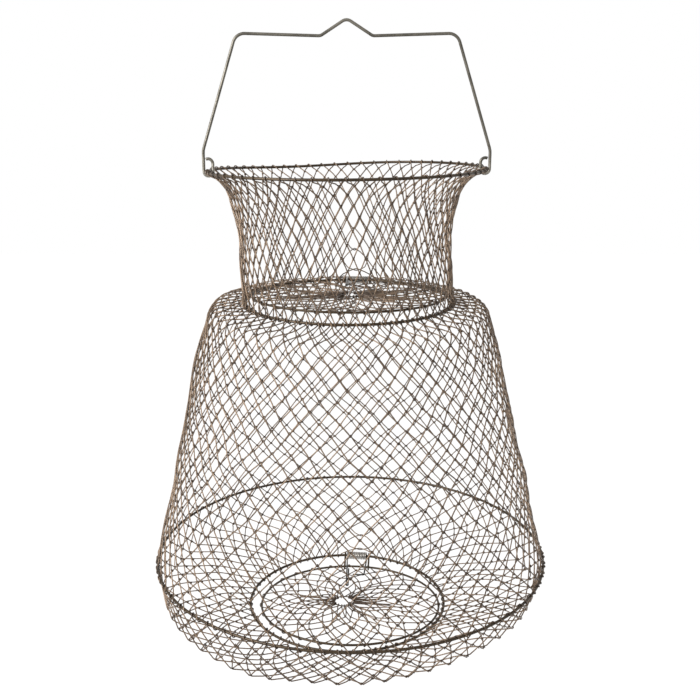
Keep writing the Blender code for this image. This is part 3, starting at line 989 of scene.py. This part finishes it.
for place in ("neck", "base"):
    rise, slope = door_lie(place)
    to_door = math.sqrt(DOOR_RADIUS**2 - LINK_HALF_SPREAD**2)
    at_door = np.array([to_door * math.cos(slope) - hinge_reach, rise - to_door * math.sin(slope)])
    along = unit(at_door)
    far = at_door + along * (door_link_reach - link_reach)
    heading = math.atan2(along[1], along[0])
    loop = np.vstack(
        (
            arc((0, 0), link_reach, heading + math.pi / 2, heading + 3 * math.pi / 2, LINK_STEP),
            arc(far, link_reach, heading - math.pi / 2, heading + math.pi / 2, LINK_STEP),
        )
    )
    for side, side_name in ((-1, "left"), (1, "right")):
        path = hinge_place(place, side * LINK_HALF_SPREAD, loop[:, 0], loop[:, 1])
        node = f"{place}_door_link_{side_name}"
        run = (path[None], hinge_right, LINK_WIRE / 2, LINK_WEAR, True)
        link = wire_piece(node, [run], LINK_SIDES, bronze)
        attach(link, place + "_door")
        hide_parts(node)

# A torsion spring of bare spring wire closes each door: a coil on the frame ring between the
# links, a long leg over the door that ends in a hairpin, and a short one that ends in a foot.
# Both legs are darkened with painted shade.
SPRING_WIRE = 0.0014
SPRING_SIDES = 8
SPRING_TURNS = 12
SPRING_TURN_POINTS = 20
SPRING_PLAY = 0.0012
SPRING_END_GAP = 0.0008
SPRING_LIFT = 0.0012
SPRING_LEG_SETBACK = 0.0510
SPRING_LEG_DRIFT = 0.0042
SPRING_HAIRPIN_LENGTH = 0.0280
SPRING_HAIRPIN_WIDTH = 0.0016
SPRING_HAIRPIN_BEND = 0.48 * SPRING_HAIRPIN_WIDTH
SPRING_FOOT_SETBACK = 0.0265
SPRING_FOOT_LENGTH = 0.0105
SPRING_FOOT_BEND = 0.0012
SPRING_STEP = 2 * BEND_STEP
SPRING_FACING_UP = 0.6
# Foot leg, coil and long leg: below zero on the legs, which is painted shade, and a little wear on the
# coil.
SPRING_WEAR_AND_SHADE = (-0.4, 0.3, -1.0)
# The near-black deep tone mostly shows as the painted shade on the legs.
spring_steel = wire_finish(
    "spring_steel",
    coat=(0.40, 0.38, 0.35),
    deep=(0.022, 0.020, 0.017),
    bare=(0.60, 0.58, 0.55),
    rough=0.36,
    metal=0.85,
    lacquer=0.05,
)
coil_radius = RING_WIRE / 2 + SPRING_WIRE / 2 + SPRING_PLAY
coil_length = 2 * (LINK_HALF_SPREAD - LINK_WIRE / 2 - SPRING_END_GAP) - SPRING_WIRE
coil_share = np.linspace(0, 1, SPRING_TURNS * SPRING_TURN_POINTS + 1)
leg_lift = DOOR_WIRE / 2 + SPRING_LIFT + SPRING_WIRE


def spring_leg(place, across, near, far, corners, bend):
    """The bent leg of a spring between its coil's end and a place over the door.

    The corners are (distance from the near end, distance to the right), on the plane through the
    near and the far end.
    """
    flat = rounded(corners, [bend] * (len(corners) - 2), SPRING_STEP)
    share = flat[:, :1] / np.linalg.norm(far - near)
    back, up = (near + share * (far - near)).T
    return hinge_place(place, across + flat[:, 1], back, up)


for place in ("neck", "base"):
    rise, slope = door_lie(place)
    inward = np.array([-math.cos(slope), math.sin(slope)])
    upward = np.array([math.sin(slope), math.cos(slope)])
    door_back = np.array([-hinge_reach, rise]) - DOOR_RADIUS * inward
    foot = door_back + SPRING_FOOT_SETBACK * inward + leg_lift * upward
    knee = door_back + SPRING_LEG_SETBACK * inward + leg_lift * upward

    # Each leg leaves the coil where a straight line to its far end touches it.
    foot_angle, knee_angle = (
        math.atan2(far[1], far[0]) % (2 * math.pi)
        + side * math.acos(coil_radius / np.linalg.norm(far))
        for far, side in ((foot, 1), (knee, -1))
    )
    foot_start, knee_start = (
        coil_radius * np.array([math.cos(angle), math.sin(angle)])
        for angle in (foot_angle, knee_angle)
    )
    foot_reach = np.linalg.norm(foot - foot_start)
    knee_reach = np.linalg.norm(knee - knee_start)
    tail_reach = knee_reach - SPRING_HAIRPIN_LENGTH
    foot_leg = spring_leg(
        place,
        coil_length / 2,
        foot_start,
        foot,
        [(foot_reach, -SPRING_FOOT_LENGTH), (foot_reach, 0), (0, 0)],
        SPRING_FOOT_BEND,
    )[:-1]
    knee_leg = spring_leg(
        place,
        -coil_length / 2,
        knee_start,
        knee,
        [
            (0, 0),
            (knee_reach, SPRING_LEG_DRIFT),
            (knee_reach, SPRING_LEG_DRIFT + SPRING_HAIRPIN_WIDTH),
            (tail_reach, SPRING_LEG_DRIFT * tail_reach / knee_reach + SPRING_HAIRPIN_WIDTH),
        ],
        SPRING_HAIRPIN_BEND,
    )[1:]
    wound = 2 * math.pi * SPRING_TURNS + knee_angle - foot_angle
    angle = knee_angle - wound * (1 - coil_share)
    coil = hinge_place(
        place,
        coil_length * (0.5 - coil_share),
        coil_radius * np.cos(angle),
        coil_radius * np.sin(angle),
    )
    path = np.vstack((foot_leg, coil, knee_leg))
    # The legs get painted shade and the coil a little wear.
    wear_and_shade = np.repeat(SPRING_WEAR_AND_SHADE, (len(foot_leg), len(coil), len(knee_leg)))
    facing = hinge_right + (0, 0, SPRING_FACING_UP)
    node = place + "_door_spring"
    run = (path[None], facing, SPRING_WIRE / 2, wear_and_shade[None], False)
    spring = wire_piece(node, [run], SPRING_SIDES, spring_steel)
    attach(spring, place + "_door")
    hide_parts(node)

# The floor is plain and pale, far enough below the hanging basket to keep its shadow out of the
# camera's view.  What the camera and the glossy wire see of it is lifted to white.
FLOOR_Z = -0.80
FLOOR_HALF = 4.0
FLOOR_COLOUR = (0.95, 0.95, 0.95, 1)
FLOOR_GLOW = 1.12
FLOOR_GLOW_SHARE = 0.88
WHITE = (1, 1, 1, 1)
floor_mesh = bpy.data.meshes.new("floor")
floor_mesh.from_pydata(
    [
        (-FLOOR_HALF, -FLOOR_HALF, FLOOR_Z),
        (FLOOR_HALF, -FLOOR_HALF, FLOOR_Z),
        (FLOOR_HALF, FLOOR_HALF, FLOOR_Z),
        (-FLOOR_HALF, FLOOR_HALF, FLOOR_Z),
    ],
    [],
    [(0, 1, 2, 3)],
)
floor = bpy.data.objects.new("floor", floor_mesh)
bpy.context.scene.collection.objects.link(floor)
floor_white = bpy.data.materials.new("floor_white")
floor_white.use_nodes = True
floor_white.node_tree.nodes.clear()
start = Shade(floor_white.node_tree)
camera_ray = start.node("ShaderNodeLightPath", output="Is Camera Ray")
glossy_ray = start.node("ShaderNodeLightPath", output="Is Glossy Ray")
seen = (camera_ray + glossy_ray) * FLOOR_GLOW_SHARE
matt = start.node("ShaderNodeBsdfDiffuse", {}, {"Color": FLOOR_COLOUR})
glow = start.node("ShaderNodeEmission", {}, {"Color": WHITE, "Strength": FLOOR_GLOW})
mixed = start.node("ShaderNodeMixShader", {}, {0: seen, 1: matt, 2: glow})
start.node("ShaderNodeOutputMaterial", {}, {"Surface": mixed})
floor_mesh.materials.append(floor_white)

# The sky lights the basket evenly and dimly from all round, and looks white to the camera and in
# reflections.
SKY_LIGHT = 0.3
SKY_LOOK = 1.0
sky = bpy.data.worlds.new("sky")
sky.use_nodes = True
sky.node_tree.nodes.clear()
start = Shade(sky.node_tree)
camera_ray = start.node("ShaderNodeLightPath", output="Is Camera Ray")
glossy_ray = start.node("ShaderNodeLightPath", output="Is Glossy Ray")
clear_ray = start.node("ShaderNodeLightPath", output="Is Transmission Ray")
seen = camera_ray + glossy_ray + clear_ray
dim = start.node("ShaderNodeBackground", {}, {"Color": WHITE, "Strength": SKY_LIGHT})
bright = start.node("ShaderNodeBackground", {}, {"Color": WHITE, "Strength": SKY_LOOK})
mixed = start.node("ShaderNodeMixShader", {}, {0: seen, 1: dim, 2: bright})
start.node("ShaderNodeOutputWorld", {}, {"Surface": mixed})
bpy.context.scene.world = sky

# One wide soft lamp stands to the left of the basket, a little in front of it and above it.
LAMP_SIZE = 0.6
LAMP_POWER = 21
LAMP_PLACE = (-0.90, -0.58, 0.22)
LAMP_TURN = (math.radians(64), 0, math.radians(-57))
lamp = bpy.data.objects.new("lamp", bpy.data.lights.new("lamp", "AREA"))
lamp.data.size = LAMP_SIZE
lamp.data.energy = LAMP_POWER
lamp.location = LAMP_PLACE
lamp.rotation_euler = LAMP_TURN
bpy.context.scene.collection.objects.link(lamp)

bpy.context.scene.view_settings.view_transform = "Standard"
